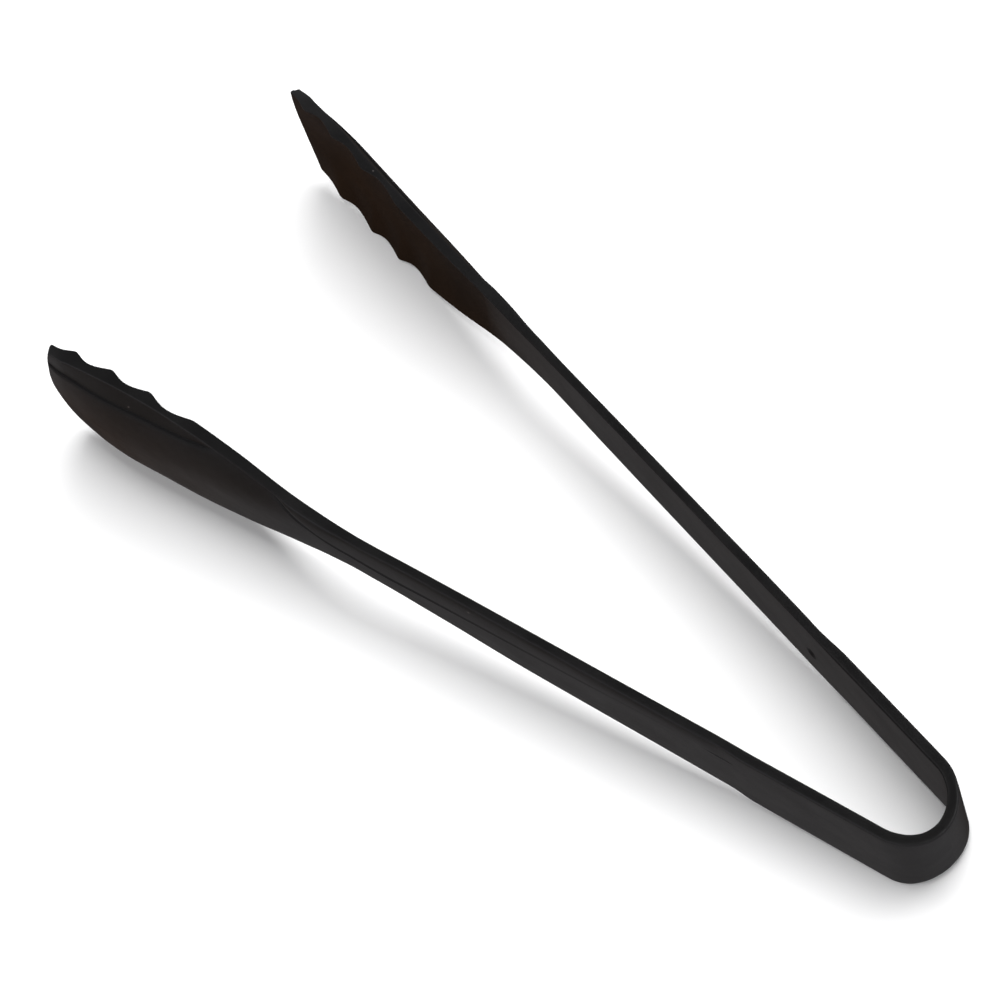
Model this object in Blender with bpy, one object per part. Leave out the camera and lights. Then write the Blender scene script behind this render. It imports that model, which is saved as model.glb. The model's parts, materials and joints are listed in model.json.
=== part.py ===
"""One-piece spring tongs, moulded in black plastic and lying on one edge.

The tongs are one strap of plastic: a U-shaped bow, two spring legs, two stiffer arms and
two scalloped jaws. Each stretch that keeps its own shape while the tongs are squeezed is a
solid of its own, so that the two flexing places on each side can be hinges.

Every solid is a loft of one rule, section(), swept along the strap's inner line: round the
bow and then straight out along the arm. Lengths here are millimetres. A station is the
distance along the left arm from the end of the bow, "out" is the distance behind the
strap's inner face, and z runs across the strap.
"""

import math

import bmesh
import bpy
from mathutils import Vector

MM = 0.001

# The strap's path
HALF_ANGLE = math.radians(8.66)  # each arm's lean from the centre line
BOW_RADIUS = 8.55  # inside of the U bend
LEG_END = 36.9  # the spring leg ends and the stiffer arm starts
NECK = 139.0  # the arm ends and the jaw starts
CORNER = 217.3  # the jaw's front corners
NOSE = 3.8  # the middle of the front edge stands this far ahead of its corners
SLANT = (0.9, 1.2)  # its lower corner stands this far ahead of the station, its upper this far behind
BEVEL = 1.1  # and its outer side this far behind its inner one
PART_GAP = 0.3  # between neighbouring solids
HINGE_DEPTH = 1.3  # the flexing lines stand in the middle of the spring's wall
BOW_ARC = BOW_RADIUS * (math.pi / 2 - HALF_ANGLE)

# Half of the strap's width
HALF_WIDTH = (
    (-12.2, 10.1), (-9.1, 10.6), (-6.0, 11.7), (-3.0, 12.85), (0.0, 13.35), (20.0, 13.1), (60.0, 12.3), (100.0, 11.8), (118.0, 11.2), (131.0, 10.5),
    (138.0, 10.6), (145.0, 11.6), (155.0, 14.0), (165.0, 17.3), (176.8, 20.6), (188.2, 22.5),
    (198.4, 23.3), (209.2, 21.8), (217.3, 20.0),
)
# How far the jaw's rim stands in towards the other jaw
RIM_REACH = (
    (134.0, 0.0), (150.0, 0.6), (165.0, 1.8), (176.8, 2.4), (188.2, 2.8), (198.4, 2.85),
    (209.2, 2.9), (214.0, 2.5), (217.3, 2.0),
)
LOW_REACH = ((150.0, 0.0), (186.0, 0.45), (217.3, 0.3))  # and its lower rim that much more
# The flat of the upper edge, from the inner corner to the outer one
EDGE_WIDTH = (
    (32.0, 2.55), (44.0, 1.85), (118.0, 1.8), (134.0, 2.05), (165.0, 2.5), (188.2, 2.8),
    (206.0, 2.9), (217.3, 2.7),
)
# The same along the lower edge
LOW_EDGE = (
    (34.0, 2.65), (40.5, 2.1), (90.0, 1.9), (115.0, 1.35), (134.0, 1.2), (145.0, 1.3),
    (155.0, 1.7), (165.0, 2.2), (188.2, 2.6), (206.0, 2.6), (217.3, 1.5),
)
EDGE_LEAN = ((150.0, 0.0), (176.8, 1.2), (217.3, 1.2))  # its outer corner is this much lower
# The outer face, on the middle line
BACK = (
    (34.0, 2.65), (40.0, 2.35), (124.0, 2.2), (134.0, 2.2), (145.0, 2.65), (155.0, 3.2),
    (165.0, 3.65), (176.8, 3.9), (190.0, 4.25), (198.4, 4.3), (204.0, 3.95), (209.2, 3.1),
    (214.0, 2.0), (217.3, 0.7),
)
# It is flat on the arm and dished on the jaw, less so below the middle line than above
BACK_POWER = ((130.0, 5.0), (150.0, 2.6), (170.0, 1.8), (190.0, 1.8), (206.0, 2.5))
LOW_POWER = ((40.0, 5.0), (100.0, 3.0), (145.0, 3.0), (176.0, 5.0), (190.0, 4.0))
# The inner face, on the middle line
HOLLOW = (
    (134.0, 0.0), (145.0, 0.45), (155.0, 1.05), (165.0, 1.6), (176.8, 1.95), (190.0, 2.3),
    (198.4, 2.3), (204.0, 1.7), (209.2, 0.6), (214.0, -0.55), (217.3, -1.3),
)
# The inner corners are eased on the spring and crisp on the arm
EASE_DOWN = ((33.0, 1.7), (39.0, 0.2))
EASE_OUT = ((33.0, 0.5), (39.0, 0.12))

# A line runs along the outer face: above it the arm has a raised, rounded flank
FLANK_FOOT = (
    (30.0, 6.0), (38.0, 6.3), (44.0, 7.0), (54.0, 7.4), (70.0, 5.8), (85.0, 4.4),
    (105.0, 3.0), (116.0, 2.2), (127.0, 1.2), (138.0, 2.2), (148.0, 7.0), (154.5, 13.6),
)
FLANK_STEP = ((36.0, 0.0), (41.0, 0.3), (70.0, 0.4), (142.0, 0.42), (150.0, 0.12), (154.5, 0.0))
# and on the jaw a bevelled facet lies between the rim and a second line
FACET_FOOT = ((168.0, 18.2), (172.0, 17.0), (180.0, 15.6), (190.0, 15.0), (205.0, 14.4), (217.3, 12.8))
FACET_STEP = ((168.0, 0.0), (174.0, -0.34), (217.3, -0.34))

# The teeth: cusps on both edges of the jaw with hollows between them
CUSPS = (176.8, 188.2, 198.4, 209.2, 217.3)
HOLLOW_SHARE = (0.46, 0.37, 0.36, 0.18)  # how far across the edge's flat each hollow bites
HOLLOW_AT = 0.58  # the deepest place, along each hollow from the bow's side

# A small oval dimple on the inner face of each arm
DIMPLE = (42.5, -2.3)
DIMPLE_SIZE = (1.5, 0.65, 2.0)  # its half axes along the arm, into it and across it

PLASTIC = (0.0161, 0.0155, 0.0160, 1.0)
PLASTIC_ROUGHNESS = 0.36


def curve_through(points):
    """A smooth rule through the points that never swings past them."""
    xs = [p[0] for p in points]
    ys = [p[1] for p in points]
    rise = [(b - a) / (d - c) for a, b, c, d in zip(ys, ys[1:], xs, xs[1:])]
    slope = [rise[0]]
    for a, b in zip(rise, rise[1:]):
        slope.append(0.0 if a * b <= 0 else 2 * a * b / (a + b))
    slope.append(rise[-1])

    def value(x):
        if x <= xs[0]:
            return ys[0]
        if x >= xs[-1]:
            return ys[-1]
        i = max(k for k in range(len(xs) - 1) if xs[k] <= x)
        h = xs[i + 1] - xs[i]
        t = (x - xs[i]) / h
        return (
            ys[i] * (1 + 2 * t) * (1 - t) ** 2
            + slope[i] * h * t * (1 - t) ** 2
            + ys[i + 1] * t * t * (3 - 2 * t)
            - slope[i + 1] * h * t * t * (1 - t)
        )

    return value


half_width = curve_through(HALF_WIDTH)
rim_reach = curve_through(RIM_REACH)
low_reach = curve_through(LOW_REACH)
edge_width = curve_through(EDGE_WIDTH)
low_edge = curve_through(LOW_EDGE)
edge_lean = curve_through(EDGE_LEAN)
back = curve_through(BACK)
back_power = curve_through(BACK_POWER)
low_power = curve_through(LOW_POWER)
hollow_depth = curve_through(HOLLOW)
ease_down = curve_through(EASE_DOWN)
ease_out = curve_through(EASE_OUT)
flank_foot = curve_through(FLANK_FOOT)
flank_step = curve_through(FLANK_STEP)
facet_foot = curve_through(FACET_FOOT)
facet_step = curve_through(FACET_STEP)


def smooth(x, low, high):
    t = min(max((x - low) / (high - low), 0.0), 1.0)
    return t * t * (3 - 2 * t)


def bite(station):
    """How far the edge has been hollowed here: 0 on a cusp."""
    for a, b, share in zip(CUSPS, CUSPS[1:], HOLLOW_SHARE):
        if a < station < b:
            t = (station - a) / (b - a)
            t = t / HOLLOW_AT / 2 if t < HOLLOW_AT else 1 - (1 - t) / (1 - HOLLOW_AT) / 2
            return share * math.sin(math.pi * t) ** 1.15
    return 0.0


def nose(station, z, h, across):
    """The sections bulge forward on their middle line, ever more towards the front edge.
    across is 0 on the inner face and 1 on the outer one."""
    t = max(station - NECK, 0.0) / (CORNER - NECK)
    v = max(min(z / h, 1.0), -1.0)
    bow = NOSE * t**3 * (1 - abs(v) ** 1.8) - SLANT[v > 0] * t**10 * v
    return bow - BEVEL * t**12 * across * (1 - v**6)


def section(station, across, flank, end_ease=0.0):
    """The strap's outline at a station: its points go up the inner face, over the upper
    edge, down the outer face and back under. across and flank are the numbers of points on
    half of the inner face and on the flank."""
    h = half_width(station)
    reach = rim_reach(station)
    lean = edge_lean(station)
    width = edge_width(station)
    mid_out = back(station)
    mid_in = hollow_depth(station)
    power, under_power = back_power(station), low_power(station)
    more = low_reach(station)
    cut = bite(station)
    top = Vector((h, -reach))  # (z, out), as all the points below
    corner = Vector((h - lean, width - reach))
    edge = top.lerp(corner, cut)
    shift = edge - top
    down, aside = ease_down(station), ease_out(station)

    def outer_at(z):
        bend, end = (power, corner.y) if z > 0 else (under_power, low_edge(station) - reach - more)
        v = min(abs(z) / corner.x, 1.0)
        return end + (mid_out - end) * (1 - v**bend)

    inner = []
    for k in range(across + 1):
        v = (k / across) ** 0.8
        z = v * (h - down)
        out = -reach + (mid_in + reach) * (1 - v * v)
        press = smooth(v, 0.5, 1.0)
        inner.append(Vector((z, out)) + shift * press)
    inner.append(edge + Vector((0.0, aside)))

    if station > 161:
        foot_z, step, rounded = facet_foot(station), facet_step(station), 0.0
    else:
        foot_z, step, rounded = flank_foot(station), flank_step(station), 1.0
    rounded *= smooth(station, LEG_END - 2, LEG_END + 8)
    foot_z = min(foot_z, corner.x - 0.2)
    foot = Vector((foot_z, outer_at(foot_z) + step))
    outer = [corner]
    for k in range(1, flank + 1):
        t = k / flank
        flat = corner.lerp(foot, t)
        curved = Vector((
            foot.x + (corner.x - foot.x) * math.cos(t * math.pi / 2),
            corner.y + (foot.y - corner.y) * math.sin(t * math.pi / 2),
        ))
        outer.append(flat.lerp(curved, rounded))
    outer.append(Vector((foot_z - 0.06 - 0.5 * abs(step), outer_at(foot_z - 0.5 * abs(step)))))

    # Below, the outer face is plain
    start = outer[-1].x
    count = across + flank + 3
    for k in range(1, count + 1):
        z = start + (-corner.x - start) * (k / count) ** 0.9
        outer.append(Vector((z, outer_at(z))))

    under = [Vector((-p.x, p.y - more * (p.x / h) ** 2)) for p in reversed(inner[1:])]
    loop = [*inner, *outer, *under]
    if end_ease:
        middle = [(outer_at(p.x) + mid_in) / 2 if abs(p.x) < h - 2 else corner.y / 2 for p in loop]
        loop = [Vector((p.x * (1 - end_ease / h), p.y + max(min(m - p.y, end_ease), -end_ease))) for p, m in zip(loop, middle)]
    outside = range(len(inner), len(inner) + len(outer))
    return [(station + nose(station, p.x, h, float(k in outside)), p.y, p.x) for k, p in enumerate(loop)]


def place(station, out, z, side=1):
    """A point of the strap in space, on the left arm or mirrored to the right one."""
    angle = math.pi / 2 + HALF_ANGLE
    if station < 0:
        angle -= station / BOW_RADIUS
        station = 0.0
    reach = BOW_RADIUS + out
    return Vector((
        reach * math.cos(angle) + station * math.cos(HALF_ANGLE),
        side * (reach * math.sin(angle) + station * math.sin(HALF_ANGLE)),
        z,
    )) * MM


def steps(start, end, most):
    count = max(1, math.ceil((end - start) / most - 1e-6))
    return [start + (end - start) * i / count for i in range(count + 1)]


def loft(name, loops, across):
    """A closed solid through the loops of points."""
    bm = bmesh.new()
    rows = [[bm.verts.new(co) for co in loop] for loop in loops]
    for a, b in zip(rows, rows[1:]):
        for k in range(len(a)):
            j = (k + 1) % len(a)
            bm.faces.new((a[k], a[j], b[j], b[k]))
    # Each end is closed with triangles from the inner face's row across to the outer's
    for row, loop in ((rows[0], loops[0]), (rows[-1], loops[-1])):
        ids = range(len(row))
        inner = [*range(across + 1, -1, -1), *(len(row) - k for k in range(1, across + 2))]
        outer = [k for k in ids if k not in inner]
        i = j = 0
        while i < len(inner) - 1 or j < len(outer) - 1:
            if j == len(outer) - 1 or (
                i < len(inner) - 1 and loop[inner[i + 1]].z >= loop[outer[j + 1]].z
            ):
                bm.faces.new((row[inner[i]], row[inner[i + 1]], row[outer[j]]))
                i += 1
            else:
                bm.faces.new((row[inner[i]], row[outer[j + 1]], row[outer[j]]))
                j += 1
    bmesh.ops.recalc_face_normals(bm, faces=bm.faces)
    mesh = bpy.data.meshes.new(name)
    bm.to_mesh(mesh)
    bm.free()
    mesh.shade_smooth()
    mesh.set_sharp_from_angle(angle=math.radians(30))
    return bpy.data.objects.new(name, mesh)


def plastic(name):
    material = bpy.data.materials.new(name)
    material.use_nodes = True
    shader = material.node_tree.nodes["Principled BSDF"]
    shader.inputs["Base Color"].default_value = PLASTIC
    shader.inputs["Roughness"].default_value = PLASTIC_ROUGHNESS
    shader.inputs["Metallic"].default_value = 0.0
    material.diffuse_color = PLASTIC
    return material


def pivot(name, parent, at, origin, collection):
    made = bpy.data.objects.new(name, None)
    made.empty_display_size = 0.01
    collection.objects.link(made)
    made.parent = parent
    made.location = at - origin
    return made


def cut_dimple(arm, side, at, cutters):
    """Presses the oval dimple into the arm's inner face."""
    bm = bmesh.new()
    bmesh.ops.create_uvsphere(bm, u_segments=20, v_segments=12, radius=MM)
    mesh = bpy.data.meshes.new(arm.name + "_dimple_cutter")
    bm.to_mesh(mesh)
    bm.free()
    cutter = bpy.data.objects.new(mesh.name, mesh)
    cutter.scale = DIMPLE_SIZE
    cutter.rotation_euler = (0.0, 0.0, side * HALF_ANGLE)
    cutter.location = place(DIMPLE[0], 0.0, DIMPLE[1], side) - at
    cutter.parent = arm
    cutter.hide_render = True
    cutter.display_type = "WIRE"
    cutters.objects.link(cutter)
    cut = arm.modifiers.new("dimple", "BOOLEAN")
    cut.operation = "DIFFERENCE"
    cut.solver = "EXACT"
    cut.object = cutter


def jaw_stations(start):
    """Evenly up to the teeth, and then eight to each hollow with one on every cusp."""
    found = steps(start, CUSPS[0], 3.2)
    for a, b in zip(CUSPS, CUSPS[1:]):
        found += steps(a, b, (b - a) / 8)[1:]
    return found


def main():
    for old in list(bpy.data.objects):
        bpy.data.objects.remove(old, do_unlink=True)
    scene = bpy.context.scene
    scene.unit_settings.system = "METRIC"
    scene.unit_settings.scale_length = 1.0
    collection = bpy.data.collections.new("spring_tongs")
    cutters = bpy.data.collections.new("cutters")
    scene.collection.children.link(collection)
    scene.collection.children.link(cutters)

    root = bpy.data.objects.new("rest_pose", None)
    root.empty_display_size = 0.02
    collection.objects.link(root)
    half_gap = PART_GAP / 2

    # The crown is the U bend, from one spring leg round to the other
    arc = [s - BOW_ARC for s in steps(0.0, BOW_ARC - half_gap, 1.15)]
    around = [(s, 1) for s in reversed(arc)] + [(s, -1) for s in arc[1:]]
    crown = loft("bow_crown", [
        [place(*point, side) for point in section(s, 4, 2)] for s, side in around
    ], 4)
    collection.objects.link(crown)
    crown.parent = root
    crown.data.materials.append(plastic("bow_crown"))

    for side, word in ((1, "left"), (-1, "right")):
        leg_at = place(0.0, HINGE_DEPTH, 0.0, side)
        arm_at = place(LEG_END, HINGE_DEPTH, 0.0, side)
        leg_pivot = pivot(word + "_leg_pivot", root, leg_at, Vector(), collection)
        arm_pivot = pivot(word + "_arm_pivot", leg_pivot, arm_at, leg_at, collection)
        for name, parent, at, found, across, flank in (
            ("_spring_leg", leg_pivot, leg_at, steps(half_gap, LEG_END - half_gap, 3.1), 4, 2),
            ("_arm", arm_pivot, arm_at, steps(LEG_END + half_gap, NECK - half_gap, 4.0), 4, 5),
            ("_jaw", arm_pivot, arm_at, jaw_stations(NECK + half_gap), 7, 5),
        ):
            loops = [section(s, across, flank) for s in found]
            if name == "_jaw":
                loops = loops[:-1] + [
                    section(CORNER - 0.3, across, flank),
                    section(CORNER, across, flank, 0.3),
                ]
            solid = loft(word + name, [
                [place(*point, side) - at for point in loop] for loop in loops
            ], across)
            collection.objects.link(solid)
            solid.parent = parent
            solid.data.materials.append(plastic(solid.name))
            if name == "_arm":
                cut_dimple(solid, side, at, cutters)

    rest_on_floor(root, collection)


def rest_on_floor(root, collection):
    """Lays the tongs down: the jaws are wider than the bow, so the arms rise a little from
    the bow to the jaws. The origin ends on the floor, below the middle of the whole box."""
    jaw = place(198.4, -rim_reach(198.4), -half_width(198.4))
    under = [place(s, 2.65, -half_width(s)) for s in steps(-BOW_ARC, 30.0, 0.5)]
    tilt = min(math.atan2(p.z - jaw.z, jaw.x - p.x) for p in under)
    root.rotation_euler = (0.0, -tilt, 0.0)
    bpy.context.view_layer.update()
    points = [
        obj.matrix_world @ vertex.co
        for obj in collection.objects
        if obj.type == "MESH"
        for vertex in obj.data.vertices
    ]
    low = [min(p[i] for p in points) for i in range(3)]
    high = [max(p[i] for p in points) for i in range(3)]
    root.location = (-(low[0] + high[0]) / 2, -(low[1] + high[1]) / 2, -low[2])
    bpy.context.view_layer.update()


main()
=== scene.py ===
"""One-piece black plastic spring tongs on a white table: the finished look.

The whole strap is moulded in one piece, so its skin here runs on over the gaps between the
frame's solids. It is made of four closed pieces: two halves of the bow, each with half of
its spring leg, and two arms, each with the other half of its leg and its jaw. Every piece
is one fine loft of ring(), and it bends where the strap bends.

Lengths are millimetres up to the last step, skin(). A station is the distance along the
left arm from the end of the bow, "out" is the distance behind the strap's inner face, and
z runs across the strap.
"""

import json
import math

import bmesh
import bpy
import numpy as np
from mathutils import Matrix, Vector

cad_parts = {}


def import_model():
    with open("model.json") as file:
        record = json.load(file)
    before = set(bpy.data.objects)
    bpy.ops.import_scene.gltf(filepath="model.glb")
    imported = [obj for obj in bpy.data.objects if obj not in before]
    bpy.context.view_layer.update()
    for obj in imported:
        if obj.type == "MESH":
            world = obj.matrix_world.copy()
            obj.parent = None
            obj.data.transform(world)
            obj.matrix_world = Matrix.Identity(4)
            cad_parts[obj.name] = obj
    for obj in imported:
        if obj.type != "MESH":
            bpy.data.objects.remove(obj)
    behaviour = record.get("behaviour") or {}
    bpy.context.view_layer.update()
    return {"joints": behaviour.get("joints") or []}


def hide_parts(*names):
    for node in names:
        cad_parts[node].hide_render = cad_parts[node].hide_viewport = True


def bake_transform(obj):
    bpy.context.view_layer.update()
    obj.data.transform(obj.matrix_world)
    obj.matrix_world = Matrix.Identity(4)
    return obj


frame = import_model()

MM = 0.001

# ---------------------------------------------------------------- the strap's dimensions
HALF_ANGLE = math.radians(8.66)
BOW_RADIUS = 8.55
LEG_END = 36.9
NECK = 139.0
CORNER = 217.3
NOSE = 3.8
SLANT = (0.9, 1.2)
BEVEL = 1.1
HINGE_DEPTH = 1.3
BOW_ARC = BOW_RADIUS * (math.pi / 2 - HALF_ANGLE)
END_ROUND = 0.75  # radius of the front edge

HALF_WIDTH = (
    (-12.2, 10.1), (-9.1, 10.6), (-6.0, 11.7), (-3.0, 12.85), (0.0, 13.35), (20.0, 13.1),
    (60.0, 12.3), (100.0, 11.8), (118.0, 11.2), (131.0, 10.5), (138.0, 10.6), (145.0, 11.6),
    (155.0, 14.0), (165.0, 17.3), (176.8, 20.6), (188.2, 22.5), (198.4, 23.3), (209.2, 21.8),
    (217.3, 20.0),
)
RIM_REACH = (
    (134.0, 0.0), (150.0, 0.6), (165.0, 1.8), (176.8, 2.4), (188.2, 2.8), (198.4, 2.85),
    (209.2, 2.9), (214.0, 2.5), (217.3, 2.0),
)
LOW_REACH = ((150.0, 0.0), (186.0, 0.45), (217.3, 0.3))
EDGE_WIDTH = (
    (32.0, 2.55), (44.0, 1.85), (118.0, 1.8), (134.0, 2.05), (165.0, 2.5), (188.2, 2.8),
    (204.0, 3.3), (211.0, 3.35), (217.3, 2.2),
)
LOW_EDGE = (
    (34.0, 2.65), (40.5, 2.1), (90.0, 1.9), (115.0, 1.35), (134.0, 1.2), (145.0, 1.3),
    (155.0, 1.7), (165.0, 2.2), (188.2, 2.6), (206.0, 2.6), (217.3, 1.5),
)
EDGE_LEAN = ((150.0, 0.0), (176.8, 1.2), (217.3, 1.2))
BACK = (
    (34.0, 2.65), (40.0, 2.35), (124.0, 2.2), (134.0, 2.2), (145.0, 2.65), (155.0, 3.2),
    (165.0, 3.65), (176.8, 3.9), (190.0, 4.25), (198.4, 4.3), (204.0, 3.95), (209.2, 3.1),
    (214.0, 2.0), (217.3, 0.7),
)
BACK_POWER = ((130.0, 5.0), (150.0, 2.6), (170.0, 1.8), (190.0, 1.45), (206.0, 1.5))
LOW_POWER = ((40.0, 5.0), (100.0, 3.0), (145.0, 3.0), (176.0, 5.0), (190.0, 4.0))
HOLLOW = (
    (134.0, 0.0), (145.0, 0.45), (155.0, 1.05), (165.0, 1.6), (176.8, 1.95), (190.0, 2.3),
    (198.4, 2.3), (204.0, 1.7), (209.2, 0.6), (214.0, -0.55), (217.3, -1.3),
)
INNER_ROUND = ((32.0, 1.15), (42.0, 0.28), (217.3, 0.3))  # radius of the edge beside the inner face
OUTER_ROUND = ((-14.0, 0.9), (32.0, 0.9), (44.0, 0.3), (217.3, 0.3))
SHADE_LINE = ((45.0, 0.0), (100.0, 0.5), (125.0, 0.95), (150.0, 0.95), (157.0, 0.0), (167.0, 0.0), (174.0, 0.6), (217.3, 0.6))  # painted shade in the crease at the flank's foot
FLANK_FOOT = (
    (30.0, 6.0), (38.0, 6.3), (44.0, 7.0), (54.0, 7.4), (70.0, 5.8), (85.0, 4.4),
    (105.0, 3.0), (116.0, 2.2), (127.0, 1.2), (138.0, 2.2), (148.0, 7.0), (154.5, 13.6),
    (161.0, 17.0), (168.0, 18.2), (172.0, 17.0), (180.0, 15.6), (190.0, 15.0), (205.0, 14.4),
    (217.3, 12.8),
)
FLANK_STEP = (
    (36.0, 0.0), (41.0, 0.28), (70.0, 0.4), (142.0, 0.42), (150.0, 0.12), (154.5, 0.0),
    (168.0, 0.0), (174.0, -0.34), (217.3, -0.34),
)
CUSPS = (176.8, 188.2, 198.4, 209.2, 217.3)
HOLLOW_SHARE = (0.46, 0.37, 0.36, 0.18)
HOLLOW_AT = 0.58
DIMPLE = (42.5, -2.3)
DIMPLE_SIZE = (1.5, 0.65, 2.0)


def curve_through(points):
    """A smooth rule through the points that never swings past them."""
    xs = [p[0] for p in points]
    ys = [p[1] for p in points]
    rise = [(b - a) / (d - c) for a, b, c, d in zip(ys, ys[1:], xs, xs[1:])]
    slope = [rise[0]]
    for a, b in zip(rise, rise[1:]):
        slope.append(0.0 if a * b <= 0 else 2 * a * b / (a + b))
    slope.append(rise[-1])

    def value(x):
        if x <= xs[0]:
            return ys[0]
        if x >= xs[-1]:
            return ys[-1]
        i = max(k for k in range(len(xs) - 1) if xs[k] <= x)
        h = xs[i + 1] - xs[i]
        t = (x - xs[i]) / h
        return (
            ys[i] * (1 + 2 * t) * (1 - t) ** 2
            + slope[i] * h * t * (1 - t) ** 2
            + ys[i + 1] * t * t * (3 - 2 * t)
            - slope[i + 1] * h * t * t * (1 - t)
        )

    return value


half_width = curve_through(HALF_WIDTH)
rim_reach = curve_through(RIM_REACH)
low_reach = curve_through(LOW_REACH)
edge_width = curve_through(EDGE_WIDTH)
low_edge = curve_through(LOW_EDGE)
edge_lean = curve_through(EDGE_LEAN)
back = curve_through(BACK)
back_power = curve_through(BACK_POWER)
low_power = curve_through(LOW_POWER)
hollow_depth = curve_through(HOLLOW)
inner_round = curve_through(INNER_ROUND)
outer_round = curve_through(OUTER_ROUND)
flank_foot = curve_through(FLANK_FOOT)
flank_step = curve_through(FLANK_STEP)
shade_line = curve_through(SHADE_LINE)


def smooth(x, low, high):
    t = np.clip((x - low) / (high - low), 0.0, 1.0)
    return t * t * (3 - 2 * t)


def sharp_bite(station):
    for a, b, share in zip(CUSPS, CUSPS[1:], HOLLOW_SHARE):
        if a < station < b:
            t = (station - a) / (b - a)
            t = t / HOLLOW_AT / 2 if t < HOLLOW_AT else 1 - (1 - t) / (1 - HOLLOW_AT) / 2
            return share * math.sin(math.pi * t) ** 1.15
    return 0.0


def bite(station):
    """How far the edge is hollowed here, with the cusps a little rounded."""
    return sum(sharp_bite(station + d) for d in (-0.5, -0.25, 0.0, 0.25, 0.5)) / 5


# ---------------------------------------------------------------- one ring of the strap
# Fractions along the inner face, closer together where the dimple is
ACROSS = np.concatenate([
    np.linspace(-1.0, -0.38, 14)[:-1], np.linspace(-0.38, 0.02, 17)[:-1], np.linspace(0.02, 1.0, 20),
])
EVEN = {n: np.linspace(0.0, 1.0, n) for n in (2, 3, 4, 10, 22)}


def along(points, cut_start, cut_end, fractions):
    """Points at these fractions of the polyline, with its two ends cut off."""
    points = np.asarray(points, float)
    length = np.concatenate([[0.0], np.cumsum(np.hypot(*np.diff(points, axis=0).T))])
    total = length[-1]
    cut_start, cut_end = min(cut_start, total * 0.45), min(cut_end, total * 0.45)
    at = cut_start + (total - cut_start - cut_end) * np.asarray(fractions)
    return np.stack([np.interp(at, length, points[:, 0]), np.interp(at, length, points[:, 1])], 1)


def bend(a, corner, b, count):
    t = (np.arange(count) + 1.0)[:, None] / (count + 1)
    return (1 - t) ** 2 * a + 2 * t * (1 - t) * np.asarray(corner) + t * t * b


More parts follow.
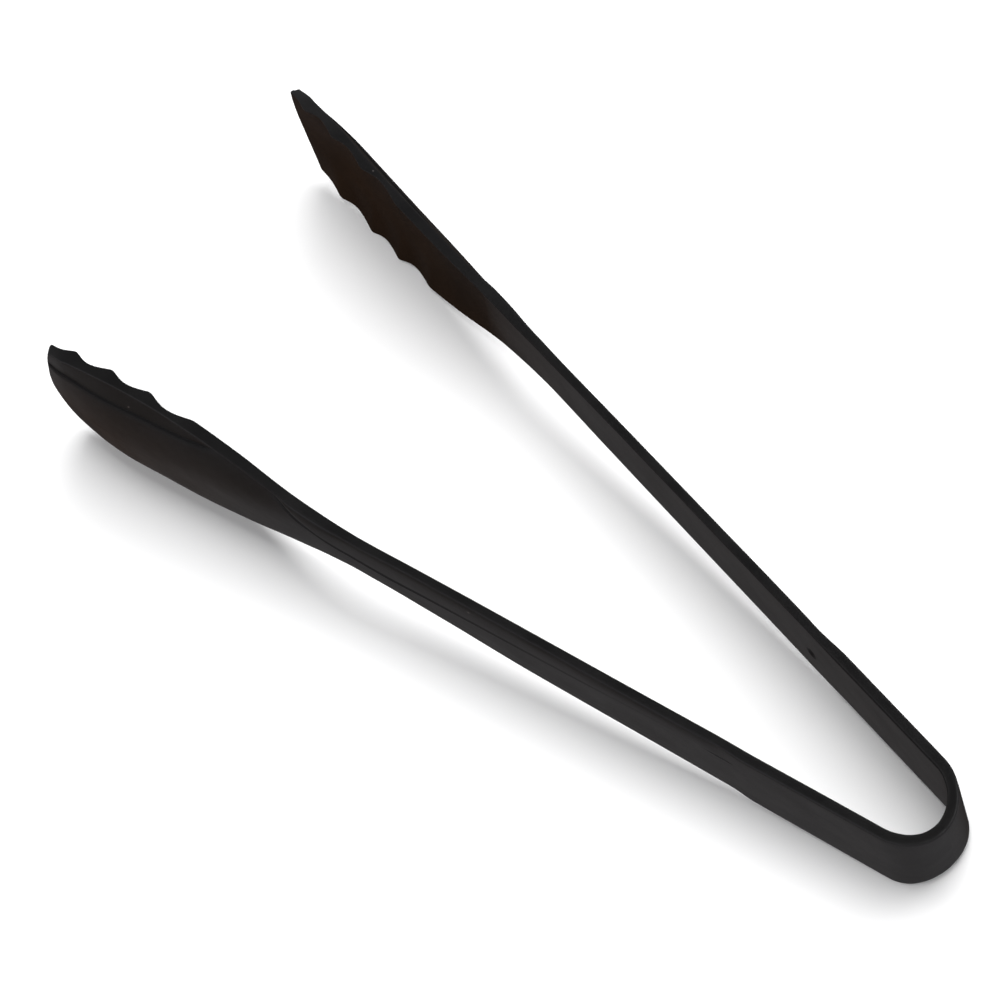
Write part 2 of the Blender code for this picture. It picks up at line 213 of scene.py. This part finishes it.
def ring(station, end_cut=0.0):
    """(points, edge) of the strap's outline at a station: (station, out, z) rows, going up
    the inner face, over the upper edge, down the outer face and back under. edge is 1 on
    the rounded edges and 0 on the faces."""
    h = half_width(station)
    reach = rim_reach(station)
    more = low_reach(station)
    lean = edge_lean(station)
    width = edge_width(station)
    mid_out, mid_in = back(station), hollow_depth(station)
    power, under_power = back_power(station), low_power(station)
    top = np.array([h, -reach])
    corner = np.array([h - lean, width - reach])
    cut = bite(station)
    shift = (corner - top) * cut
    edge = top + shift
    low_end = low_edge(station) - reach - more

    def outer_at(z):
        z = np.asarray(z, float)
        v = np.minimum(np.abs(z) / corner[0], 1.0)
        upper = corner[1] + (mid_out - corner[1]) * (1 - v**power)
        lower = low_end + (mid_out - low_end) * (1 - v**under_power)
        return np.where(z > 0, upper, lower)

    v = np.linspace(-1.0, 1.0, 161)
    press = smooth(np.abs(v), 0.5, 1.0)
    face = np.stack([
        v * h + np.sign(v) * shift[0] * press,
        -reach + (mid_in + reach) * (1 - v * v) + shift[1] * press - more * np.where(v < 0, v * v, 0.0),
    ], 1)

    foot_z = min(flank_foot(station), corner[0] - 0.25)
    step = flank_step(station)
    rounded = smooth(station, LEG_END - 2, LEG_END + 8) * (1 - smooth(station, 154.0, 168.0))
    foot = np.array([foot_z, outer_at(foot_z) + step])
    t = np.linspace(0.0, 1.0, 41)[:, None]
    flat = corner + (foot - corner) * t
    plain_z = corner[0] + (foot_z - corner[0]) * t
    on_face = np.concatenate([plain_z, outer_at(plain_z)], 1)
    joined = smooth(station, 160.0, 176.0)
    curved = np.concatenate([
        foot[0] + (corner[0] - foot[0]) * np.cos(t * math.pi / 2),
        corner[1] + (foot[1] - corner[1]) * np.sin(t * math.pi / 2),
    ], 1)
    plain = on_face if station < 60 else flat * joined + on_face * (1 - joined)
    flank = plain * (1 - rounded) + curved * rounded
    # While there is no step yet, the flank is the face itself
    foot = flank[-1] if rounded < 0.02 and abs(step) < 0.02 else foot
    below = np.array([foot_z - 0.05 - 0.45 * abs(step), 0.0])
    below[1] = outer_at(below[0])
    z = np.linspace(below[0], -corner[0], 121)
    lower = np.stack([z, outer_at(z)], 1)
    low_edge_point = face[0]

    r_in, r_out = inner_round(station), outer_round(station)
    r_in = min(r_in, 0.45 * math.dist(edge, corner))
    parts, edges = [], []

    def add(points, level):
        parts.append(points)
        edges.append(np.full(len(points), level) if np.isscalar(level) else level)

    hump = np.array([0.6, 1.0, 1.0, 0.6])
    a = along(face, r_in, r_in, (ACROSS + 1) / 2)
    b = along([edge, corner], r_in, r_out, EVEN[4])
    c = along(flank, r_out, 0.08, EVEN[10])
    d = along([foot, below], 0.05, 0.05, EVEN[2])
    e = along(lower, 0.08, r_out, EVEN[22])
    f = along([lower[-1], low_edge_point], r_out, r_in, EVEN[4])
    add(a, 0.0)
    add(bend(a[-1], edge, b[0], 4), hump)
    add(b, 0.15)
    add(bend(b[-1], corner, c[0], 4), hump)
    add(c, 0.0)
    add(bend(c[-1], foot, d[0], 2), min(abs(step) * 2, 1.0))
    add(d, 0.0)
    add(bend(d[-1], below, e[0], 2), 0.0)
    add(e, 0.0)
    add(bend(e[-1], lower[-1], f[0], 4), hump)
    add(f, 0.15)
    add(bend(f[-1], low_edge_point, a[0], 4), hump)
    loop = np.concatenate(parts)
    level = np.concatenate(edges)
    inside = len(a)

    # The front edge comes after the bulge, the slant and the bevel, and is rounded over
    tt = max(station - NECK, 0.0) / (CORNER - NECK)
    vv = np.clip(loop[:, 0] / h, -1.0, 1.0)
    span = np.clip((loop[:, 1] - np.interp(loop[:, 0], face[:, 0], face[:, 1])) / max(width, 0.5), 0.0, 1.0)
    ahead = NOSE * tt**3 * (1 - np.abs(vv) ** 1.8) - np.where(vv > 0, SLANT[1], SLANT[0]) * tt**10 * vv - BEVEL * tt**12 * span * (1 - 0.6 * vv**6)
    if end_cut:
        middle = (outer_at(loop[:, 0]) + np.interp(loop[:, 0], face[:, 0], face[:, 1])) / 2
        loop = np.stack([
            loop[:, 0] * (1 - end_cut / h),
            loop[:, 1] + np.clip(middle - loop[:, 1], -end_cut, end_cut),
        ], 1)
        level = np.maximum(level, min(end_cut / END_ROUND * 1.5, 0.8))
    out = loop[:, 1].copy()

    # The dimple in the inner face
    if abs(station - DIMPLE[0]) < DIMPLE_SIZE[0]:
        rho = ((station - DIMPLE[0]) / DIMPLE_SIZE[0]) ** 2 + ((loop[:inside, 0] - DIMPLE[1]) / DIMPLE_SIZE[2]) ** 2
        out[:inside] += DIMPLE_SIZE[1] * np.clip(1 - rho, 0.0, 1.0) ** 0.7
    return np.stack([station + ahead, out, loop[:, 0]], 1), level, inside


def place(points, side):
    """Rows of (station, out, z) as points of the tongs' own frame."""
    s, out, z = points[:, 0], points[:, 1], points[:, 2]
    angle = math.pi / 2 + HALF_ANGLE - np.minimum(s, 0.0) / BOW_RADIUS
    s = np.maximum(s, 0.0)
    reach = BOW_RADIUS + out
    return np.stack([
        reach * np.cos(angle) + s * math.cos(HALF_ANGLE),
        side * (reach * np.sin(angle) + s * math.sin(HALF_ANGLE)),
        z,
    ], 1)


# ---------------------------------------------------------------- where the tongs lie
joints = {j["name"]: j for j in frame["joints"]}
ACROSS_AXIS = Vector(joints["right_bow_flex"]["axis"]).normalized()
if ACROSS_AXIS.z < 0:
    ACROSS_AXIS.negate()
FORWARD = Vector((ACROSS_AXIS.z, 0.0, -ACROSS_AXIS.x)).normalized()
TURN = Matrix((FORWARD, Vector((0.0, 1.0, 0.0)), ACROSS_AXIS)).transposed()
LEG_AT = place(np.array([[0.0, HINGE_DEPTH, 0.0]]), 1)[0]
ORIGIN = Vector(joints["left_bow_flex"]["pos_m"]) - TURN @ (Vector(LEG_AT) * MM)


def world(points):
    return (np.asarray(points) * MM) @ np.array(TURN).T + np.array(ORIGIN)


# ---------------------------------------------------------------- the skin
def closed_end(bm, row, loop, inside, layer):
    """Triangles from the inner face's row across to the outer one's."""
    count = len(row)
    inner = [*range(inside - 1, -1, -1)]
    outer = [*range(inside, count)]
    inner = [inside - 1, *inner[1:]]
    # both go from the upper edge to the lower one
    z = loop[:, 2]
    i = j = 0
    while i < len(inner) - 1 or j < len(outer) - 1:
        if j == len(outer) - 1 or (i < len(inner) - 1 and z[inner[i + 1]] >= z[outer[j + 1]]):
            face = bm.faces.new((row[inner[i]], row[inner[i + 1]], row[outer[j]]))
            i += 1
        else:
            face = bm.faces.new((row[inner[i]], row[outer[j + 1]], row[outer[j]]))
            j += 1
        face[layer] = 1
    # the two seams between the rows' ends are edges of the ring already


def skin(name, side, stations, material, front=False):
    """One closed piece of the strap through the stations."""
    rings = []
    step = 0.4
    cuts = [
        END_ROUND - math.sqrt(max(END_ROUND**2 - max(s - (CORNER - END_ROUND), 0.0) ** 2, 0.0)) if front else 0.0
        for s in stations
    ]
    for s, cut in zip(stations, cuts):
        rings.append(ring(s, cut))
    inside = rings[0][2]
    grid = np.array([place(r[0], side) for r in rings])
    before = place(ring(stations[0] - step)[0], side)
    after = grid[-1] + (grid[-1] - grid[-2]) if front else place(ring(stations[-1] + step)[0], side)
    # Normals by differences over the whole strap, so that neighbouring pieces meet unseen
    position = np.concatenate([[stations[0] - step], stations, [stations[-1] + step]])
    long = np.concatenate([[before], grid, [after]])
    gap = np.diff(position)[:, None, None]
    rise = np.diff(long, axis=0) / np.maximum(gap, 1e-6)
    along_strap = (rise[:-1] + rise[1:]) / 2
    nxt, prv = np.roll(grid, -1, axis=1) - grid, grid - np.roll(grid, 1, axis=1)
    nxt /= np.maximum(np.linalg.norm(nxt, axis=2, keepdims=True), 1e-9)
    prv /= np.maximum(np.linalg.norm(prv, axis=2, keepdims=True), 1e-9)
    normal = np.cross(nxt + prv, along_strap)
    normal /= np.maximum(np.linalg.norm(normal, axis=2, keepdims=True), 1e-9)
    middle = grid.mean(axis=1, keepdims=True)
    if ((grid - middle) * normal).sum() < 0:
        normal = -normal
    normal = normal @ np.array(TURN).T

    bm = bmesh.new()
    end_layer = bm.faces.layers.int.new("end_face")
    rows = []
    for r in grid:
        w = world(r)
        rows.append([bm.verts.new(co) for co in w])
    count = len(rows[0])
    for a, b in zip(rows, rows[1:]):
        for k in range(count):
            j = (k + 1) % count
            bm.faces.new((a[k], a[j], b[j], b[k]))
    closed_end(bm, rows[0], rings[0][0], inside, end_layer)
    closed_end(bm, rows[-1], rings[-1][0], inside, end_layer)
    bmesh.ops.recalc_face_normals(bm, faces=bm.faces)
    mesh = bpy.data.meshes.new(name)
    bm.to_mesh(mesh)
    bm.free()

    strap = np.concatenate([r[0] for r in rings]).astype(np.float32)
    attribute = mesh.attributes.new("strap_mm", "FLOAT_VECTOR", "POINT")
    attribute.data.foreach_set("vector", (strap * (1, side, 1)).ravel())
    attribute = mesh.attributes.new("edge", "FLOAT", "POINT")
    attribute.data.foreach_set("value", np.concatenate([r[1] for r in rings]).astype(np.float32))
    attribute = mesh.attributes.new("inner_face", "FLOAT", "POINT")
    attribute.data.foreach_set("value", np.tile((np.arange(count) < inside).astype(np.float32), len(rings)))

    # Painted shade: the mask of a near-black line painted along the crease at the flank's foot
    def painted_foot_shade(t):
        line = np.zeros(count)
        line[inside + 20:inside + 30] = 1.0
        line[[inside + 20, inside + 29]] = 0.8 if t < 160 else 0.0
        line[inside + 21] = 1.0 if t < 160 else 0.5
        return line * shade_line(t)

    attribute = mesh.attributes.new("painted_foot_shade", "FLOAT", "POINT")
    attribute.data.foreach_set("value", np.concatenate([painted_foot_shade(t) for t in stations]).astype(np.float32))

    flags = np.zeros(len(mesh.polygons), np.int32)
    mesh.attributes["end_face"].data.foreach_get("value", flags)
    mesh.attributes.remove(mesh.attributes["end_face"])
    mesh.shade_smooth()
    vertex_of = np.zeros(len(mesh.loops), np.int32)
    mesh.loops.foreach_get("vertex_index", vertex_of)
    flat = normal.reshape(-1, 3)
    loops = flat[vertex_of]
    face_normals = np.zeros(len(mesh.polygons) * 3, np.float32)
    mesh.polygons.foreach_get("normal", face_normals)
    face_normals = face_normals.reshape(-1, 3)
    for polygon in mesh.polygons:
        if flags[polygon.index]:
            for k in polygon.loop_indices:
                loops[k] = face_normals[polygon.index]
    mesh.normals_split_custom_set([tuple(map(float, n)) for n in loops])
    mesh.materials.append(material)
    obj = bpy.data.objects.new(name, mesh)
    bpy.context.scene.collection.objects.link(obj)
    return obj


# ---------------------------------------------------------------- the material
def satin_plastic():
    """Black moulded plastic with a fine satin grain. Its texture follows the strap."""
    material = bpy.data.materials.new("satin_black_plastic")
    material.use_nodes = True
    nodes, links = material.node_tree.nodes, material.node_tree.links
    shader = nodes["Principled BSDF"]
    shader.inputs["Metallic"].default_value = 0.0
    shader.inputs["IOR"].default_value = 1.5

    def node(kind, **settings):
        made = nodes.new(kind)
        for key, value in settings.items():
            setattr(made, key, value)
        return made

    def noise(scale, detail, rough=0.5, source=None):
        made = node("ShaderNodeTexNoise")
        made.inputs["Scale"].default_value = scale
        made.inputs["Detail"].default_value = detail
        made.inputs["Roughness"].default_value = rough
        links.new(source or strap.outputs["Vector"], made.inputs["Vector"])
        return made.outputs["Fac"]

    def remap(value, low, high, to_low, to_high):
        made = node("ShaderNodeMapRange", clamp=True)
        for k, v in enumerate((low, high, to_low, to_high)):
            made.inputs[k + 1].default_value = v
        links.new(value, made.inputs[0])
        return made.outputs[0]

    def maths(operation, a, b):
        made = node("ShaderNodeMath", operation=operation)
        for k, v in enumerate((a, b)):
            if isinstance(v, (int, float)):
                made.inputs[k].default_value = v
            else:
                links.new(v, made.inputs[k])
        return made.outputs[0]

    def mix(factor, a, b):
        made = node("ShaderNodeMix", data_type="RGBA")
        links.new(factor, made.inputs[0])
        for k, v in ((6, a), (7, b)):
            if isinstance(v, tuple):
                made.inputs[k].default_value = (*v, 1.0)
            else:
                links.new(v, made.inputs[k])
        return made.outputs[2]

    strap = node("ShaderNodeAttribute", attribute_name="strap_mm")
    edge = node("ShaderNodeAttribute", attribute_name="edge")
    inner = node("ShaderNodeAttribute", attribute_name="inner_face")
    painted_foot_shade = node("ShaderNodeAttribute", attribute_name="painted_foot_shade")
    parts = node("ShaderNodeSeparateXYZ")
    links.new(strap.outputs["Vector"], parts.inputs[0])

    # Colour: slow cloudiness, a painted warm reflection in the jaws' scoops and on their lower tips, paler worn
    # edges
    cloud = noise(0.09, 3.0)
    colour = mix(remap(cloud, 0.35, 0.65, 0.0, 1.0), BASE_DARK, BASE_PALE)
    # Painted reflection: the scoops and the jaws' lower tips are tinted brown, standing in for warm light reflected
    # there
    scoop = maths("MULTIPLY", remap(parts.outputs[0], 120.0, 156.0, 0.0, 1.0), inner.outputs["Fac"])
    tip = maths("MULTIPLY", remap(parts.outputs[0], 150.0, 200.0, 0.0, 1.0), remap(parts.outputs[2], 15.0, 0.0, 0.0, 1.0))
    warm = maths("MAXIMUM", scoop, tip)
    warm = maths("MULTIPLY", warm, remap(noise(0.055, 2.0), 0.3, 0.7, 0.7, 1.0))
    colour = mix(warm, colour, PAINTED_WARM_REFLECTION)
    wear = maths("MULTIPLY", edge.outputs["Fac"], remap(noise(0.5, 2.0, 0.5), 0.3, 0.7, 0.3, 0.7))
    colour = mix(wear, colour, EDGE_PALE)

    # A few specks of dust
    cells = node("ShaderNodeTexVoronoi", feature="F1")
    cells.inputs["Scale"].default_value = 0.155
    links.new(strap.outputs["Vector"], cells.inputs["Vector"])
    pick = node("ShaderNodeSeparateColor")
    links.new(cells.outputs["Color"], pick.inputs[0])
    size = remap(pick.outputs[1], 0.0, 1.0, 0.03, 0.08)
    speck = maths("LESS_THAN", cells.outputs["Distance"], size)
    soft = maths("SUBTRACT", size, cells.outputs["Distance"])
    soft = remap(soft, 0.0, 0.02, 0.0, 1.0)
    chosen = maths("GREATER_THAN", pick.outputs[0], 0.8)
    speck = maths("MULTIPLY", maths("MULTIPLY", speck, soft), chosen)
    speck = maths("MULTIPLY", speck, remap(pick.outputs[2], 0.0, 1.0, 0.25, 0.9))
    colour = mix(speck, colour, DUST)
    # Painted shade: a near-black line along the crease at the flank's foot, where the step shades it
    colour = mix(painted_foot_shade.outputs["Fac"], colour, (0.0008, 0.0008, 0.0008))
    links.new(colour, shader.inputs["Base Color"])

    # Gloss: satin, a little duller in clouds, in faint draw lines along the strap, and on dust
    stretch = node("ShaderNodeMapping")
    stretch.inputs["Scale"].default_value = (0.05, 1.0, 2.4)
    links.new(strap.outputs["Vector"], stretch.inputs["Vector"])
    lines = noise(0.7, 3.0, 0.55, stretch.outputs["Vector"])
    rough = maths("ADD", remap(cloud, 0.3, 0.7, ROUGH - 0.035, ROUGH + 0.035), remap(lines, 0.3, 0.7, -0.01, 0.012))
    rough = maths("ADD", rough, remap(noise(5.0, 2.0), 0.3, 0.7, -0.03, 0.03))
    rough = maths("ADD", rough, maths("MULTIPLY", speck, 0.4))
    rough = maths("ADD", rough, maths("MULTIPLY", painted_foot_shade.outputs["Fac"], 0.6))
    links.new(rough, shader.inputs["Roughness"])
    links.new(remap(maths("MAXIMUM", scoop, maths("MULTIPLY", tip, 0.93)), 0.0, 1.0, 0.5, 0.01), shader.inputs["Specular IOR Level"])

    # Relief: spark-eroded grain, faint flow marks, and slow shallow sinks
    grain = maths("ADD", maths("MULTIPLY", noise(7.5, 2.0, 0.55), 0.0045), maths("MULTIPLY", noise(2.6, 2.0), 0.004))
    flow = maths("ADD", maths("MULTIPLY", lines, 0.0012), maths("MULTIPLY", noise(0.16, 1.0), 0.10))
    height = maths("ADD", maths("ADD", grain, flow), maths("MULTIPLY", speck, 0.02))
    bump = node("ShaderNodeBump")
    bump.inputs["Strength"].default_value = 1.0
    bump.inputs["Distance"].default_value = MM
    links.new(height, bump.inputs["Height"])
    links.new(bump.outputs["Normal"], shader.inputs["Normal"])
    return material


BASE_DARK = (0.0030, 0.0029, 0.0030)
BASE_PALE = (0.0050, 0.0048, 0.0049)
# painted warm reflection on the jaws
PAINTED_WARM_REFLECTION = (0.0210, 0.0120, 0.0072)
EDGE_PALE = (0.0085, 0.0082, 0.0082)
DUST = (0.24, 0.22, 0.21)
ROUGH = 0.37
ROOM_LOW = (0.185, 0.178, 0.183)
ROOM_HIGH = (0.115, 0.114, 0.118)
ROOM_SIDE = (0.52, 0.525, 0.55)
ROOM_BOW = (0.27, 0.265, 0.275)
ROOM_WARM = (0.052, 0.030, 0.019)
ROOM_BAND = (0.36, 0.36, 0.37)
ROOM_DIM = (0.058, 0.048, 0.043)

plastic = satin_plastic()


def spaced(start, end, most):
    return list(np.linspace(start, end, max(2, math.ceil((end - start) / most - 1e-6) + 1)))


def run(*spans):
    found = []
    for start, end, most in spans:
        found += spaced(start, end, most)[(1 if found else 0):]
    return np.array(found)


MID_LEG = LEG_END / 2
bow_run = run((-BOW_ARC, 0.0, 0.5), (0.0, MID_LEG, 0.9))
arm_run = run(
    (MID_LEG, 33.0, 1.0), (33.0, 40.8, 0.45), (40.8, 44.2, 0.17), (44.2, 56.0, 0.8),
    (56.0, 112.0, 1.4), (112.0, 152.0, 0.9), (152.0, 176.0, 0.7), (176.0, 215.8, 0.32),
    (215.8, 216.9, 0.12), (216.9, CORNER, 0.04),
)

tongs = bpy.data.collections.new("tongs")
bpy.context.scene.collection.children.link(tongs)

for side, word in ((1, "left"), (-1, "right")):
    bow = skin(word + "_bow_half", side, bow_run, plastic)
    arm = skin(word + "_arm_and_jaw", side, arm_run, plastic, front=True)
    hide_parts("bow_crown")
    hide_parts(word + "_spring_leg", word + "_arm", word + "_jaw")
    tongs.objects.link(bow)
    tongs.objects.link(arm)
    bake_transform(bow)
    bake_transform(arm)

# ---------------------------------------------------------------- the table
floor_mesh = bpy.data.meshes.new("table")
floor_mesh.from_pydata([(-0.8, -0.8, 0), (0.8, -0.8, 0), (0.8, 0.8, 0), (-0.8, 0.8, 0)], [], [(0, 1, 2, 3)])
floor = bpy.data.objects.new("table", floor_mesh)
bpy.context.scene.collection.objects.link(floor)
paper = bpy.data.materials.new("white_table")
paper.use_nodes = True
tree = paper.node_tree
tree.nodes["Principled BSDF"].inputs["Roughness"].default_value = 0.9
tree.nodes["Principled BSDF"].inputs["Specular IOR Level"].default_value = 0.15
tint = tree.nodes.new("ShaderNodeTexNoise")
tint.inputs["Scale"].default_value = 3.0
ramp = tree.nodes.new("ShaderNodeValToRGB")
ramp.color_ramp.elements[0].color = (0.86, 0.86, 0.86, 1.0)
ramp.color_ramp.elements[1].color = (0.90, 0.90, 0.90, 1.0)
tree.links.new(tint.outputs["Fac"], ramp.inputs[0])
tree.links.new(ramp.outputs[0], tree.nodes["Principled BSDF"].inputs["Base Color"])
floor_mesh.materials.append(paper)

# ---------------------------------------------------------------- light
# A dim studio all round, a little browner low down on the left arm's side
surroundings = bpy.data.worlds.new("studio")
bpy.context.scene.world = surroundings
surroundings.use_nodes = True
tree = surroundings.node_tree
direction = tree.nodes.new("ShaderNodeTexCoord")
sides = tree.nodes.new("ShaderNodeSeparateXYZ")
tree.links.new(direction.outputs["Generated"], sides.inputs[0])


def turning(axis, start, end):
    """0 on one side of the room and 1 on the other."""
    made = tree.nodes.new("ShaderNodeMapRange")
    made.interpolation_type = "SMOOTHSTEP"
    for k, v in enumerate((start, end, 0.0, 1.0)):
        made.inputs[k + 1].default_value = v
    tree.links.new(sides.outputs[axis], made.inputs[0])
    return made.outputs[0]


def both(a, b):
    made = tree.nodes.new("ShaderNodeMath")
    made.operation = "MULTIPLY"
    tree.links.new(a, made.inputs[0])
    tree.links.new(b, made.inputs[1])
    return made.outputs[0]


def over(factor, under, colour):
    made = tree.nodes.new("ShaderNodeMix")
    made.data_type = "RGBA"
    tree.links.new(factor, made.inputs[0])
    if isinstance(under, tuple):
        made.inputs[6].default_value = (*under, 1.0)
    else:
        tree.links.new(under, made.inputs[6])
    made.inputs[7].default_value = (*colour, 1.0)
    return made.outputs[2]


room = over(turning(2, -0.55, 0.15), ROOM_LOW, ROOM_HIGH)
room = over(both(turning(2, -0.42, -0.12), turning(2, 0.5, 0.2)), room, ROOM_BAND)
room = over(both(both(turning(1, 0.35, 0.85), turning(2, -0.45, -0.1)), turning(2, 0.55, 0.2)), room, ROOM_SIDE)
room = over(both(both(turning(1, 0.40, 0.60), turning(2, -0.30, -0.55)), turning(0, 0.15, 0.35)), room, ROOM_WARM)
room = over(both(both(turning(1, 0.20, 0.0), turning(2, 0.05, -0.25)), turning(0, -0.14, 0.06)), room, ROOM_DIM)
room = over(both(turning(0, -0.15, -0.45), turning(2, -0.2, -0.6)), room, ROOM_BOW)
rays = tree.nodes.new("ShaderNodeLightPath")
room = over(rays.outputs["Is Camera Ray"], room, (1.0, 1.0, 1.0))  # beyond the table it is white
tree.links.new(room, tree.nodes["Background"].inputs["Color"])


def area(name, toward, distance, width, height, power, colour, at=(0.0, 0.0, 0.02), glossy=False, only=None):
    """A softbox in the direction given from the tongs, facing them. only names what it lights."""
    lamp = bpy.data.lights.new(name, "AREA")
    lamp.shape = "RECTANGLE"
    lamp.size, lamp.size_y = width, height
    lamp.energy = power
    lamp.color = colour
    obj = bpy.data.objects.new(name, lamp)
    toward = Vector(toward).normalized()
    obj.location = Vector(at) + toward * distance
    obj.rotation_euler = toward.to_track_quat("Z", "Y").to_euler()
    obj.visible_glossy = glossy
    if only:
        obj.light_linking.receiver_collection = only
    bpy.context.scene.collection.objects.link(obj)
    return obj


area("overhead", (0.03, -0.30, 0.95), 1.5, 1.3, 1.3, 38.0, (1.0, 1.0, 1.0))
area("fill", (-0.25, 0.65, 0.72), 1.5, 1.2, 1.2, 9.0, (1.0, 1.0, 1.0))
area("bow_glint", (-0.80, -0.35, 0.35), 0.5, 0.25, 0.25, 0.20, (1.0, 1.0, 1.0), at=(-0.11, 0.0, 0.02), glossy=True, only=tongs)
area("warm_low", (0.35, 0.90, 0.22), 0.5, 0.2, 0.2, 0.2, (1.0, 0.60, 0.40), at=(0.09, 0.0, 0.02), only=tongs)
floor.visible_glossy = False

# The photograph's white stays white, and its blacks stay black
bpy.context.scene.view_settings.view_transform = "Standard"

# ---------------------------------------------------------------- camera
# It stands above the bow's side and to the left, looking down along the arms
AZ, EL, ROLL = -2.0202, 1.1222, -0.4193
DISTANCE, LENS = 1126.5266, 5000.0  # in the fit's units, and pixels for an image 1000 across
AIM = Vector((96.8448, 0.8165, 0.0))
BOW_X, UNIT = -24.3374, 0.963  # the bow's centre, and millimetres per unit

from_aim = Vector((math.cos(EL) * math.sin(AZ), -math.cos(EL) * math.cos(AZ), math.sin(EL)))
eye = AIM + from_aim * DISTANCE
look = -from_aim
right = look.cross(Vector((0.0, 0.0, 1.0))).normalized()
up = right.cross(look)
right_rolled = right * math.cos(ROLL) + up * math.sin(ROLL)
up_rolled = up * math.cos(ROLL) - right * math.sin(ROLL)
eye_local = Vector((eye.x - BOW_X, eye.y, eye.z)) * UNIT
columns = Matrix((TURN @ right_rolled, TURN @ up_rolled, TURN @ -look)).transposed()
camera_data = bpy.data.cameras.new("camera")
camera_data.sensor_fit = "HORIZONTAL"
camera_data.sensor_width = 36.0
camera_data.lens = LENS / 1000.0 * 36.0
camera_data.clip_start = 0.01
camera_data.clip_end = 50.0
camera = bpy.data.objects.new("camera", camera_data)
camera.matrix_world = Matrix.Translation(ORIGIN + TURN @ (eye_local * MM)) @ columns.to_4x4()
bpy.context.scene.collection.objects.link(camera)
bpy.context.scene.camera = camera
